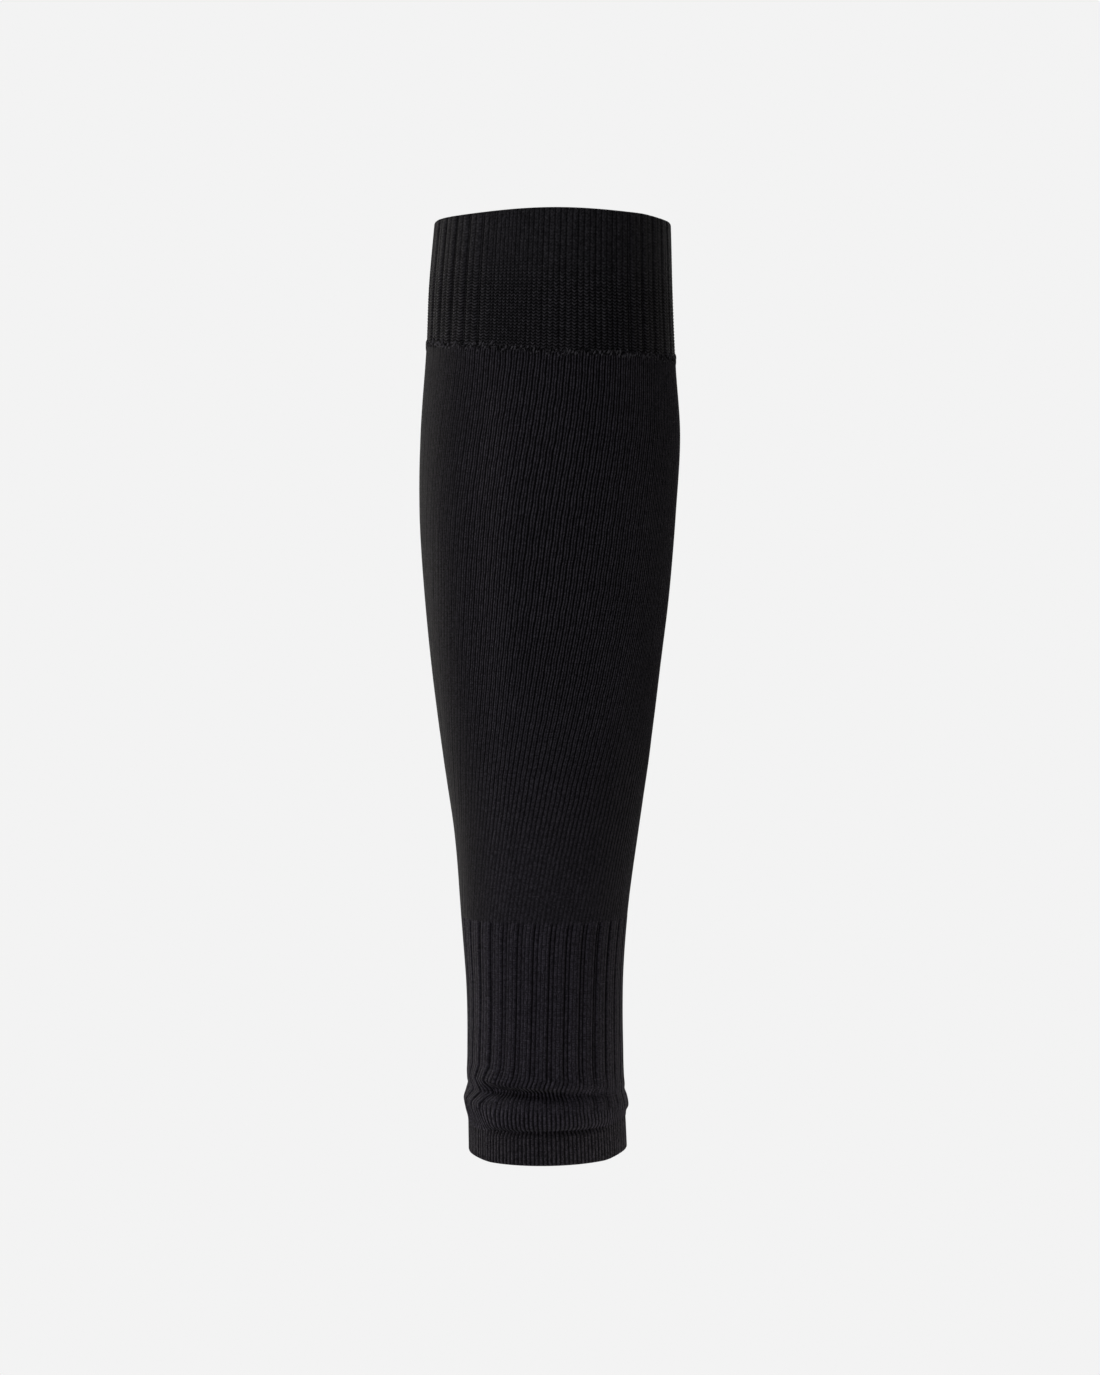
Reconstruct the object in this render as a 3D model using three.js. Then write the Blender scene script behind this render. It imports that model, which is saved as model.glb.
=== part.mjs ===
// Footless football sock: a knitted tube as it sits on a lower leg, open at the knee and at the ankle.
// Millimetres, +Z up along the leg. The origin is the middle of the upper opening.
// The shin faces -Y, the calf +Y, and the tube reaches down to the ankle bone.

import * as THREE from 'three';
import { ParametricGeometry } from 'three/addons/geometries/ParametricGeometry.js';
import { mergeVertices } from 'three/addons/utils/BufferGeometryUtils.js';

// Driving dimensions. "down" is always the distance below the upper edge.

const LENGTH = 370;
const SEAM_DOWN = 51.6;
const RIB_DOWN = 275.4;
const HEM_DOWN = 357;
const CUFF_RIB_COUNT = 44;
const ANKLE_RIB_COUNT = 33;
const PIECE_GAP = 0.3;
const SEAM_HEIGHT = 2.2;
const SEAM_PROUD = 0.4;
const CUFF_SHOULDER = 1.1;
const HEM_ROUNDING = 1.2;
const HEM_TUCK = 1.0;
const HEM_TUCK_HEIGHT = 2;

// Thickness of the knit: the cuff and the hem are turned double, the rest is single.

const CUFF_WALL = 2.6;
const SEAM_WALL = 2.2;
const LEG_WALL = 1.4;
const ANKLE_WALL = 1.9;
const HEM_WALL = 2.4;

// Outer form of the worn tube. front and back are measured from the leg's axis, shift moves it to +X.

const LEG_FORM = [
  { down: 0, width: 93.6, front: 50.0, back: 51.0, shift: 0.0 },
  { down: 28, width: 96.8, front: 51.0, back: 54.0, shift: -0.8 },
  { down: 54, width: 99.0, front: 52.5, back: 57.0, shift: -0.7 },
  { down: 84, width: 103.0, front: 54.0, back: 60.0, shift: -0.9 },
  { down: 116, width: 101.8, front: 54.0, back: 62.0, shift: -2.0 },
  { down: 148, width: 97.2, front: 51.5, back: 61.0, shift: -2.3 },
  { down: 180, width: 90.1, front: 47.0, back: 56.0, shift: -2.7 },
  { down: 212, width: 82.0, front: 42.5, back: 49.0, shift: -2.6 },
  { down: 244, width: 72.7, front: 38.0, back: 42.5, shift: -2.6 },
  { down: 276, width: 66.1, front: 35.0, back: 39.5, shift: -3.4 },
  { down: 308, width: 61.8, front: 34.5, back: 40.0, shift: -3.2 },
  { down: 340, width: 61.5, front: 35.0, back: 42.0, shift: -2.8 },
  { down: 370, width: 62.5, front: 36.0, back: 45.0, shift: -1.95 },
];

// Edges and folds aren't level. Each row lifts its level at the +X side, at the shin and between the two.

const LEVEL_LIFT = [
  { down: 0, side: 0.3, shin: 0.2, between: -0.7 },
  { down: 51.6, side: -2.8, shin: -3.1, between: 0.0 },
  { down: 110, side: 0.0, shin: 0.0, between: 0.0 },
  { down: 200, side: 0.0, shin: 0.0, between: 0.0 },
  { down: 300, side: 0.0, shin: 0.0, between: 0.0 },
  { down: 349, side: -1.2, shin: 0.0, between: 0.0 },
  { down: 370, side: 0.5, shin: 0.0, between: 0.0 },
];

// The slouch above the hem: how far the knit stands out all round, and how much more at the shin.

const SLOUCH_FOLDS = [
  { down: 326, outset: 0.0, shin: 0.0 },
  { down: 337, outset: 0.1, shin: 0.8 },
  { down: 341.6, outset: -0.3, shin: -1.3 },
  { down: 345.5, outset: 1.2, shin: 0.0 },
  { down: 349.5, outset: 1.9, shin: 0.4 },
  { down: 353.5, outset: 1.3, shin: 0.7 },
  { down: 357, outset: 0.0, shin: -1.0 },
];

// Ribs: how many go round, how deep their grooves are, and the columns of facets across each one.
// phase is the place within the rib, sunk is the share of the groove's depth.

const CUFF_RIB = {
  count: CUFF_RIB_COUNT,
  depth: 0.7,
  columns: [{ phase: 0, sunk: 1 }, { phase: 0.3, sunk: 0 }, { phase: 0.7, sunk: 0 }],
};
const ANKLE_RIB = {
  count: ANKLE_RIB_COUNT,
  depth: 0.6,
  columns: [{ phase: 0, sunk: 1 }, { phase: 0.18, sunk: 0 }, { phase: 0.82, sunk: 0 }],
};
const PLAIN = {
  count: ANKLE_RIB_COUNT,
  depth: 0,
  columns: [{ phase: 0, sunk: 0 }, { phase: 0.5, sunk: 0 }],
};

// Rows of facets along each tube.

const CUFF_OUTER_ROWS = 5;
const CUFF_INNER_ROWS = 4;
const LEG_ROWS = 11;
const ANKLE_STRAIGHT_ROWS = 3;

const KNIT_COLOUR = 0x1a191b;
const KNIT_ROUGHNESS = 0.85;

// Smooth reading of a table with a "down" column: returns a function that gives one row at any level.

function smoothTable(rows) {
  const names = Object.keys(rows[0]).filter((name) => name !== 'down');
  const levels = rows.map((row) => row.down);
  const values = rows.flatMap((row) => names.map((name) => row[name]));
  const curve = new THREE.CubicInterpolant(levels, values, names.length);
  return (down) => {
    const clamped = THREE.MathUtils.clamp(down, levels[0], levels[levels.length - 1]);
    const found = curve.evaluate(clamped);
    return Object.fromEntries(names.map((name, index) => [name, found[index]]));
  };
}

const formAt = smoothTable(LEG_FORM);
const liftAt = smoothTable(LEVEL_LIFT);
const foldAt = smoothTable(SLOUCH_FOLDS);

// Closed outline of the leg at one level, anticlockwise from the middle of the calf.
// Equal steps along it are equal lengths of knit, so the ribs keep one width all round.

function sectionAt(down) {
  const { width, front, back, shift } = formAt(down);
  const outline = new THREE.CurvePath();
  outline.add(new THREE.EllipseCurve(shift, 0, width / 2, back, Math.PI / 2, Math.PI));
  outline.add(new THREE.EllipseCurve(shift, 0, width / 2, front, Math.PI, 2 * Math.PI));
  outline.add(new THREE.EllipseCurve(shift, 0, width / 2, back, 0, Math.PI / 2));
  return { outline, form: { width, front, shift } };
}

// Share of a point at the +X side (-1 to 1) and at the shin (0 to 1), for the lifts and folds.

function bearing(point, form) {
  const side = (point.x - form.shift) / (form.width / 2);
  const shin = Math.max(0, -point.y / form.front);
  return { side, shin };
}

function levelLift(down, { side, shin }) {
  const lift = liftAt(down);
  const between = 4 * side * side * shin * shin;
  return lift.side * side + lift.shin * shin + lift.between * between;
}

// One ring of the wall: its level, and how far it stands out from the leg form at each place round it.

function ring(down, outset) {
  return { down, outset };
}

// A tube whose wall runs round the given rings: down the outer face, up the inner face and back to the start.

function tube(name, rings, rib) {
  const sections = rings.map(({ down }) => sectionAt(down));
  const perRib = rib.columns.length;
  const columnCount = rib.count * perRib;

  function wallPoint(u, v, target) {
    const row = Math.round(u * rings.length) % rings.length;
    const column = Math.round(v * columnCount) % columnCount;
    const { phase, sunk } = rib.columns[column % perRib];
    const around = (Math.floor(column / perRib) + phase) / rib.count;
    const { down, outset } = rings[row];
    const { outline, form } = sections[row];
    const point = outline.getPoint(around);
    const tangent = outline.getTangent(around);
    const place = bearing(point, form);
    const out = outset({ down, groove: rib.depth * sunk, place });
    target.set(point.x + out * tangent.y, point.y - out * tangent.x, levelLift(down, place) - down);
  }

  const geometry = new ParametricGeometry(wallPoint, rings.length, columnCount);
  geometry.deleteAttribute('normal');
  geometry.deleteAttribute('uv');
  const closed = mergeVertices(geometry);
  closed.computeVertexNormals();
  const material = new THREE.MeshStandardMaterial({
    color: KNIT_COLOUR,
    roughness: KNIT_ROUGHNESS,
    metalness: 0,
  });
  const mesh = new THREE.Mesh(closed, material);
  mesh.name = name;
  return mesh;
}

// Evenly spaced levels from one level to another, both included.

function levels(from, to, count) {
  return Array.from({ length: count }, (_, index) => THREE.MathUtils.lerp(from, to, index / (count - 1)));
}

// Ribbed cuff: a welt turned double, with a rounded fold along the upper edge.

function topCuff() {
  const bottom = SEAM_DOWN - SEAM_HEIGHT / 2 - PIECE_GAP;
  const outerLevels = levels(CUFF_SHOULDER, bottom, CUFF_OUTER_ROWS);
  const innerLevels = levels(bottom, CUFF_SHOULDER, CUFF_INNER_ROWS);
  const outer = outerLevels.map((down) => ring(down, ({ groove }) => -groove));
  const inner = innerLevels.map((down) => ring(down, () => -CUFF_WALL));
  const fold = ring(0, ({ groove }) => -(CUFF_WALL + groove) / 2);
  return tube('top_cuff', [...outer, ...inner, fold], CUFF_RIB);
}

// Linking row that closes the cuff onto the leg: a low raised ring.

function cuffSeam() {
  const top = SEAM_DOWN - SEAM_HEIGHT / 2;
  const bottom = SEAM_DOWN + SEAM_HEIGHT / 2;
  const rings = [
    ring(top, () => 0),
    ring(SEAM_DOWN, () => SEAM_PROUD),
    ring(bottom, () => 0),
    ring(bottom, () => -SEAM_WALL),
    ring(top, () => -SEAM_WALL),
  ];
  return tube('cuff_seam', rings, PLAIN);
}

// Plain jersey leg over the calf.

function leg() {
  const top = SEAM_DOWN + SEAM_HEIGHT / 2 + PIECE_GAP;
  const bottom = RIB_DOWN - PIECE_GAP / 2;
  const outer = levels(top, bottom, LEG_ROWS).map((down) => ring(down, () => 0));
  const inner = levels(bottom, top, LEG_ROWS).map((down) => ring(down, () => -LEG_WALL));
  return tube('leg', [...outer, ...inner], PLAIN);
}

// Ankle ribbing, straight at first and then slouched in two soft folds above the hem.
// The outer face has a row of facets at each fold level and midway between them.

function ankleRib() {
  const top = RIB_DOWN + PIECE_GAP / 2;
  const bottom = HEM_DOWN - PIECE_GAP / 2;
  const folds = SLOUCH_FOLDS.map(({ down }) => Math.min(down, bottom));
  const straight = levels(top, folds[0], ANKLE_STRAIGHT_ROWS).slice(0, -1);
  const halfway = folds.slice(1).map((down, index) => (folds[index] + down) / 2);
  const outerLevels = [...straight, ...folds, ...halfway].sort((a, b) => a - b);
  const innerLevels = [...straight, ...folds].reverse();
  const slouch = (down, { shin }) => foldAt(down).outset + foldAt(down).shin * shin;
  const outerFace = ({ down, groove, place }) => slouch(down, place) - groove;
  const innerFace = ({ down, place }) => slouch(down, place) - ANKLE_WALL;
  const outer = outerLevels.map((down) => ring(down, outerFace));
  const inner = innerLevels.map((down) => ring(down, innerFace));
  return tube('ankle_rib', [...outer, ...inner], ANKLE_RIB);
}

// Hem: the knit turned double at the ankle, tucked in under the slouch and rounded along its lower edge.

function hemBand() {
  const top = HEM_DOWN + PIECE_GAP / 2;
  const rings = [
    ring(top, ({ place }) => -HEM_TUCK * place.shin),
    ring(top + HEM_TUCK_HEIGHT, () => 0),
    ring(LENGTH - 2 * HEM_ROUNDING, () => 0),
    ring(LENGTH - HEM_ROUNDING / 2, () => -HEM_ROUNDING / 4),
    ring(LENGTH, () => -HEM_WALL / 2),
    ring(LENGTH - HEM_ROUNDING, () => -HEM_WALL),
    ring(top, () => -HEM_WALL),
  ];
  return tube('hem_band', rings, PLAIN);
}

const sock = new THREE.Group();
sock.add(topCuff(), cuffSeam(), leg(), ankleRib(), hemBand());

export default sock;
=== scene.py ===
"""Footless football sock: the knit of its five bands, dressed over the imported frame.

Every size in the tables is in millimetres and "down" is the distance below the cuff's upper edge.
A column of stitches is a wale and a row of stitches is a course. Wales are counted from the middle
of the calf, by way of the left (-X) to the shin (-Y) and on by the right (+X).
"""

import math

import bpy
import numpy as np
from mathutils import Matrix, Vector


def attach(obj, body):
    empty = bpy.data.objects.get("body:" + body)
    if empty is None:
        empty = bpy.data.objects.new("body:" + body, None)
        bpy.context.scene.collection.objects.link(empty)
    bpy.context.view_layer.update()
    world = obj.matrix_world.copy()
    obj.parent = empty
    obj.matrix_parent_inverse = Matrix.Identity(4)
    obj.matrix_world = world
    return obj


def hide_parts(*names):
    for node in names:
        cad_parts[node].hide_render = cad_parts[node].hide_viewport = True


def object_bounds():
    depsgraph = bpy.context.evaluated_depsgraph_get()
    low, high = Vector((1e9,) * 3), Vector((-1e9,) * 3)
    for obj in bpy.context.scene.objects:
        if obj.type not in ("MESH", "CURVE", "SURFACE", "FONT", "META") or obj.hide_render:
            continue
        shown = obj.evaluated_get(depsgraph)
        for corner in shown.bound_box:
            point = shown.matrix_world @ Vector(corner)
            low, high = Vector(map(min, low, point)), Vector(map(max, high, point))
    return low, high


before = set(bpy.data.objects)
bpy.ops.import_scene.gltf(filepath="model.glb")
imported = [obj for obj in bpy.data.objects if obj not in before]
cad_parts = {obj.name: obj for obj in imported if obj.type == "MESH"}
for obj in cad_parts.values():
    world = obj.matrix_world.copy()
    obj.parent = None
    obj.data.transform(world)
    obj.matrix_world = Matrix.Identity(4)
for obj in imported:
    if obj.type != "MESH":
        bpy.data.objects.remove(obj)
cad_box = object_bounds()

MM = 0.001
SEED = 11

# The knit: how many wales go round, how many make a rib, and the size of a stitch, worn or at rest

WALES = 132
CUFF_RIB_WALES = 3
ANKLE_RIB_WALES = 4
CUFF_COURSE = 1.17
LEG_COURSE = 1.01
ANKLE_COURSE = 0.92
HEM_COURSE = 0.92

# Levels of the bands and thickness of the knit, as in the solids

LENGTH = 370.0
SEAM_DOWN = 51.6
SEAM_HEIGHT = 2.2
RIB_DOWN = 275.4
HEM_DOWN = 357.0
CUFF_WALL = 2.6
SEAM_WALL = 2.2
LEG_WALL = 1.4
ANKLE_WALL = 1.9
HEM_WALL = 2.4

# Gap between the edges of the cuff and the leg, which the linking row fills

SEAM_GAP = 0.8

# Outer form of the worn tube: front and back are measured from the leg's axis, shift moves it to +X

LEG_FORM = {
    "down": (0, 28, 54, 84, 116, 148, 180, 212, 244, 276, 308, 340, 370),
    "width": (93.6, 96.8, 99.0, 103.0, 101.8, 97.2, 90.1, 82.0, 72.7, 66.1, 61.8, 61.5, 62.5),
    "front": (50.0, 51.0, 52.5, 54.0, 54.0, 51.5, 47.0, 42.5, 38.0, 35.0, 34.5, 35.0, 36.0),
    "back": (51.0, 54.0, 57.0, 60.0, 62.0, 61.0, 56.0, 49.0, 42.5, 39.5, 40.0, 42.0, 45.0),
    "shift": (0.0, -0.8, -0.7, -0.9, -2.0, -2.3, -2.7, -2.6, -2.6, -3.4, -3.2, -2.8, -1.95),
}

# The shin's ridge and the hollow at its left, and how far they show by level

SHIN_RIDGE = {"height": 0.7, "side": -0.18, "reach": 0.22}
SHIN_HOLLOW = {"height": -1.3, "side": -0.54, "reach": 0.17}
SHIN_SHOWS = {
    "down": (54, 80, 165, 215, 255),
    "share": (0.0, 1.0, 1.0, 0.3, 0.0),
}

# Edges and folds aren't level: lift at the +X side, at the shin, between the two and at the corners

LEVEL_LIFT = {
    "down": (0, 51.6, 110, 200, 300, 349, 356, 370),
    "side": (0.3, -2.8, 0.0, 0.0, 0.0, -1.2, 0.9, 0.5),
    "shin": (0.2, -3.1, 0.0, 0.0, 0.0, 0.0, 0.0, 0.0),
    "between": (-0.7, 0.0, 0.0, 0.0, 0.0, 0.0, 0.0, 0.0),
}
CORNER_LIFT = {
    "down": (0, 12, 349, 356, 370),
    "left": (0.0, 0.0, 0.0, 0.3, 0.85),
    "right": (-1.1, 0.0, 0.0, 1.2, 1.15),
}
CORNER_START = 0.72

# The slouch above the hem: outset at the bearings and droop of the rolls at the shin, then the shares
# of the shin, of the calf and of the way to +X between which one bearing passes into the next

SLOUCH_FOLDS = {
    "down": (300, 326, 333, 338.4, 341.4, 343.2, 346, 349.3, 352.5, 355, 357.2),
    "left": (0.0, 0.4, 0.5, 0.7, 0.6, 0.4, 1.2, 2.1, 1.4, 0.5, 0.3),
    "left_front": (0.0, 0.1, 0.6, 2.1, -3.2, -2.6, 0.6, 1.7, 2.0, 1.1, -1.7),
    "right_front": (0.0, 0.1, 0.3, 0.9, -1.0, -0.4, 1.2, 1.8, 2.0, 1.1, -0.9),
    "right": (0.0, 0.4, 0.4, 0.5, 0.7, 0.6, 1.5, 1.9, 1.3, 0.7, 0.4),
    "back": (0.0, 0.1, 0.1, 0.3, -0.3, 0.1, 1.2, 1.9, 1.5, 0.8, 0.0),
    "droop": (0.0, 0.0, 0.2, 0.9, 0.8, 0.3, -0.2, 0.0, 0.2, 0.3, -0.4),
}
SLOUCH_LEFT_FRONT = (0.55, 0.8)
SLOUCH_RIGHT_FRONT = (0.4, 0.95)
SLOUCH_BACK = (0.25, 0.8)
SLOUCH_ACROSS = (-0.1, 0.6)

# Sharp zigzag of the wales in the slouch: how far they are pushed round the leg, in wales

FOLD_SWAY = {
    "down": (333.5, 336.0, 339.2, 341.0, 344.0, 348.3, 351.0, 356.5),
    "left": (0.0, -0.8, -1.9, -0.9, 0.9, -2.2, -2.0, -0.2),
    "shin": (0.0, 0.0, -0.8, -0.3, 0.0, 0.0, 0.0, 0.0),
    "right": (0.0, 0.0, 0.1, 0.0, -0.1, -0.6, -0.55, -0.1),
}
SWAY_LEFT = (0.5, 0.8)
SWAY_RIGHT = (0.2, 0.6)

# The ankle by level: depth of the grooves between its ribs and of the shade painted in them, at the shin
# and at the left, how far its single wales stand apart, and where the crease breaks them into dashes with
# painted shade between them

ANKLE_LOOK = {
    "down": (274.6, 276.6, 334.0, 338.0, 340.6, 343.4, 345.2, 348.0, 350.5, 357.3),
    "groove": (0.0, 1.0, 1.0, 0.5, 0.3, 0.4, 0.6, 0.5, 0.0, 0.0),
    "left_groove": (0.0, 1.0, 1.0, 0.7, 0.5, 0.5, 0.6, 0.6, 0.2, 0.0),
    "fine": (0.0, 0.0, 0.0, 0.0, 0.0, 0.0, 0.0, 0.0, 1.0, 1.0),
    "dashed": (0.0, 0.0, 0.0, 0.4, 1.0, 1.0, 0.0, 0.0, 0.0, 0.0),
}

# How far the wales lean round the leg on their way down, in wales

WALE_LEAN = {
    "down": (0, 52, 90, 150, 180, 200, 228, 250, 274, 282, 300, 345, 370),
    "wales": (-2.1, -2.4, -4.0, -6.9, -8.8, -10.5, -13.4, -16.2, -18.8, -19.4, -19.9, -20.8, -21.0),
}

# How far the stitches of the cuff's ribs are stretched open

CUFF_OPENS = {
    "down": (0, 10, 22, 34, 52),
    "opened": (0.0, 0.1, 0.6, 1.0, 1.0),
}

# Levels between which the two lines of each calf stitch close up to one

JERSEY_CLOSES = (170.0, 250.0)

# Levels between which the calf's lines grow faint above the ankle, and how far

JERSEY_CALMS = (215.0, 270.0)
JERSEY_CALM = 0.5

# Steps that measure a girth, the strip that guards an edge's shading, and the inner faces' share of a bake

SECTION_STEPS = 720
EDGE_GUARD = 0.06
INNER_BAKE = 0.3


def smooth(table, down):
    """The table's columns at the levels in down, on a cubic through its rows."""
    known = np.array(table["down"], dtype=float)
    down = np.clip(np.asarray(down, dtype=float), known[0], known[-1])
    place = np.clip(np.searchsorted(known, down, side="right") - 1, 0, len(known) - 2)
    step = known[place + 1] - known[place]
    t = (down - known[place]) / step
    found = {}
    for name, column in table.items():
        values = np.array(column, dtype=float)
        slopes = np.empty_like(values)
        slopes[1:-1] = (values[2:] - values[:-2]) / (known[2:] - known[:-2])
        slopes[0] = (values[1] - values[0]) / (known[1] - known[0])
        slopes[-1] = (values[-1] - values[-2]) / (known[-1] - known[-2])
        found[name] = (
            (2 * t**3 - 3 * t**2 + 1) * values[place]
            + (t**3 - 2 * t**2 + t) * step * slopes[place]
            + (3 * t**2 - 2 * t**3) * values[place + 1]
            + (t**3 - t**2) * step * slopes[place + 1]
        )
    return found


def straight(table, down):
    """The table's columns at the level down, on straight lines between its rows."""
    return {name: np.interp(down, table["down"], column) for name, column in table.items()}


def ease(low, high, value):
    """0 up to low, 1 from high on, and a smooth step between them."""
    t = np.clip((np.asarray(value, dtype=float) - low) / (high - low), 0.0, 1.0)
    return t * t * (3 - 2 * t)


def yarn(phase):
    """Round back of a yarn that fills each whole step of phase, from 0 in the groove to 1 on top."""
    across = 2 * (phase % 1.0) - 1
    return np.sqrt(np.clip(1 - across**2, 0.0, 1.0))


class Ring:
    """One level of the tube: points of its outline, outward normals and bearings, at the given wales."""

    def __init__(self, down, wale, place):
        form = smooth(LEG_FORM, down)
        half = form["width"] / 2
        angle = np.linspace(0.5 * math.pi, 2.5 * math.pi, SECTION_STEPS + 1)
        depth = np.where(np.sin(angle) > 0, form["back"], form["front"])
        steps = np.hypot(np.diff(half * np.cos(angle)), np.diff(depth * np.sin(angle)))
        run = np.concatenate([[0.0], np.cumsum(steps)])
        at = np.interp((place / WALES % 1.0) * run[-1], run, angle)
        depth = np.where(np.sin(at) > 0, form["back"], form["front"])
        normal = np.stack([np.cos(at) / half, np.sin(at) / depth], axis=1)
        self.down = down
        self.wale = wale
        self.point = np.stack([form["shift"] + half * np.cos(at), depth * np.sin(at)], axis=1)
        self.normal = normal / np.linalg.norm(normal, axis=1, keepdims=True)
        self.side = np.cos(at)
        self.shin = np.clip(-np.sin(at), 0.0, None)
        self.calf = np.clip(np.sin(at), 0.0, None)

    def lift(self):
        """How far each point stands above its level."""
        level = smooth(LEVEL_LIFT, self.down)
        corner = smooth(CORNER_LIFT, self.down)
        between = (2 * self.side * self.shin) ** 2
        lift = level["side"] * self.side + level["shin"] * self.shin + level["between"] * between
        lift += corner["left"] * ease(CORNER_START, 1.0, -self.side)
        return lift + corner["right"] * ease(CORNER_START, 1.0, self.side)


class Tube:
    """A closed wall of knit: rows of points from the outer face's top down, then up the inner face."""

    def __init__(self, name, per_wale):
        self.name = name
        self.wale = np.arange(WALES * per_wale) / per_wale
        self.rows = []
        self.courses = []
        self.weights = []

    def ring(self, down, place=None):
        """The tube at this level, leaned round the leg. Its wales are evenly spaced or at these places."""
        lean = smooth(WALE_LEAN, down)["wales"]
        stitch = self.wale if place is None else place
        return Ring(down, self.wale, stitch + lean)

    def lay(self, ring, course, out, droop=0.0, weight=1.0):
        """Adds a row: out moves it along the normals, droop lowers it, weight is its share of the bake."""
        flat = ring.point + ring.normal * np.broadcast_to(out, ring.side.shape)[:, None]
        self.rows.append(np.column_stack([flat, ring.lift() - ring.down - droop]))
        self.courses.append(course)
        self.weights.append(weight)

    def build(self):
        """The mesh, with wale and course numbers as the map "knit" and a flat map for baking."""
        grid = np.stack(self.rows) * MM
        count, columns = grid.shape[:2]
        row, column = np.meshgrid(np.arange(count), np.arange(columns), indexing="ij")
        below = (row + 1) % count
        right = (column + 1) % columns
        corners = [(row, column), (below, column), (below, right), (row, right)]
        quads = np.stack([level * columns + place for level, place in corners], axis=-1)
        mesh = bpy.data.meshes.new(self.name)
        mesh.from_pydata(grid.reshape(-1, 3), [], quads.reshape(-1, 4))
        courses = np.array(self.courses + self.courses[-1:])
        wales = np.append(self.wale, WALES)
        steps = np.linalg.norm(np.roll(grid, -1, axis=0) - grid, axis=2).mean(axis=1)
        run = np.concatenate([[0.0], np.cumsum(steps * np.array(self.weights))])
        for name, u, v in (("knit", wales, courses), ("OFBake", wales / WALES, run / run[-1])):
            left_side = (u[column], v[row], u[column], v[row + 1])
            right_side = (u[column + 1], v[row + 1], u[column + 1], v[row])
            places = np.stack(left_side + right_side, axis=-1)
            layer = mesh.uv_layers.new(name=name, do_init=False)
            layer.uv.foreach_set("vector", places.astype(np.float32).ravel())
        mesh.uv_layers.active = mesh.uv_layers["knit"]
        mesh.shade_smooth()
        return add_object(self.name, mesh)


def levels(top, bottom, count):
    """Levels from top to bottom, with one close to each end that keeps the shading of the edge narrow."""
    inner = np.linspace(top + EDGE_GUARD, bottom - EDGE_GUARD, count)
    return np.concatenate([[top], inner, [bottom]])


def add_object(name, data):
    made = bpy.data.objects.new(name, data)
    bpy.context.scene.collection.objects.link(made)
    return made


# Unevenness of the knit: each wale sits a little higher or lower, and that drifts along its length

rng = np.random.default_rng(SEED)
wale_height = rng.normal(0.0, 1.0, WALES)
wale_phase = rng.uniform(0.0, 2 * math.pi, WALES)
HEIGHT_SHARE = 0.7
DRIFT_SHARE = 0.5
DRIFT_PER_COURSE = 0.11


def uneven(wale, course, amount):
    """Outset of the wales at this course, of about this amount."""
    index = np.floor(wale).astype(int) % WALES
    drift = np.sin(DRIFT_PER_COURSE * course + wale_phase[index])
    return amount * (HEIGHT_SHARE * wale_height[index] + DRIFT_SHARE * drift)


# A rib: raised wales and a sunk one. The grooves' sides slope over this share of a wale

GROOVE_SLOPE = 0.6
GROOVE_FLANK_SLOPE = 0.3


def rib_profile(inside, wales, groove, sunk_wale, flank):
    """Outset over a rib of so many wales: groove is the depth beside the sunk wale, sunk_wale its own."""
    edge = np.minimum(inside, wales - 1 - inside)
    slope = GROOVE_SLOPE + (GROOVE_FLANK_SLOPE - GROOVE_SLOPE) * flank
    raised = -groove * (1 - ease(0.0, slope, edge))
    sunk = (groove - sunk_wale) * yarn(inside) - groove
    return np.where(inside < wales - 1, raised, sunk)


def drawn_in(wale, wales, width):
    """Wales moved so that the sunk wale of each rib of so many wales is this wide, about its middle."""
    inside = wale % wales
    raised = wales - 1
    wide = (wales - width) / raised
    moved = np.where(inside < raised, inside * wide, wales - width * (wales - inside))
    return wale - inside + moved - (1 - width) / 2


# Ribbed cuff: its stitches are stretched to wavy bars, and its ribs stand closer at the left of the shin

CUFF_PER_WALE = 5
CUFF_ROWS_PER_COURSE = 3
CUFF_RIM = CUFF_WALL / 2
CUFF_RIM_ROWS = 7
CUFF_INNER_ROWS = 6
CUFF_LOWER_EDGE = 0.2
CUFF_EDGE_SHARE = 0.6
CUFF_GROOVE = 0.25
CUFF_LEFT_GROOVE = 0.65
CUFF_RIGHT_GROOVE = 0.45
CUFF_SUNK_SHARE = 0.5
CUFF_FLANK_SUNK_SHARE = 0.95
CUFF_FLANK = (0.4, 0.8)
CUFF_FLANK_WIDTH = 0.2
CUFF_WALE_RELIEF = 0.16
CUFF_CLOSED_SHARE = 0.5
CUFF_BAR_RELIEF = 0.26
CUFF_UNEVEN = 0.04
CUFF_GATHER = 2.0
CUFF_GATHER_WALE = 57.0
CUFF_GATHER_REACH = 8.0
CUFF_TURN = 2.85
CUFF_FRONT = 1.3
BAR_WAVE = 0.25


def cuff_place(wale):
    """Wale positions: closer at the shin, most at its left, wider at the flanks with narrow grooves."""
    away = (wale - CUFF_GATHER_WALE) / CUFF_GATHER_REACH
    turn = 2 * math.pi * (wale - WALES / 2) / WALES
    width = 1 - (1 - CUFF_FLANK_WIDTH) * ease(*CUFF_FLANK, np.abs(np.sin(turn)))
    narrow = drawn_in(wale, CUFF_RIB_WALES, width)
    closer = CUFF_FRONT * np.sin(2 * turn) + CUFF_GATHER * away * np.exp(-(away**2) / 2)
    return narrow + CUFF_TURN - closer


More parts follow.
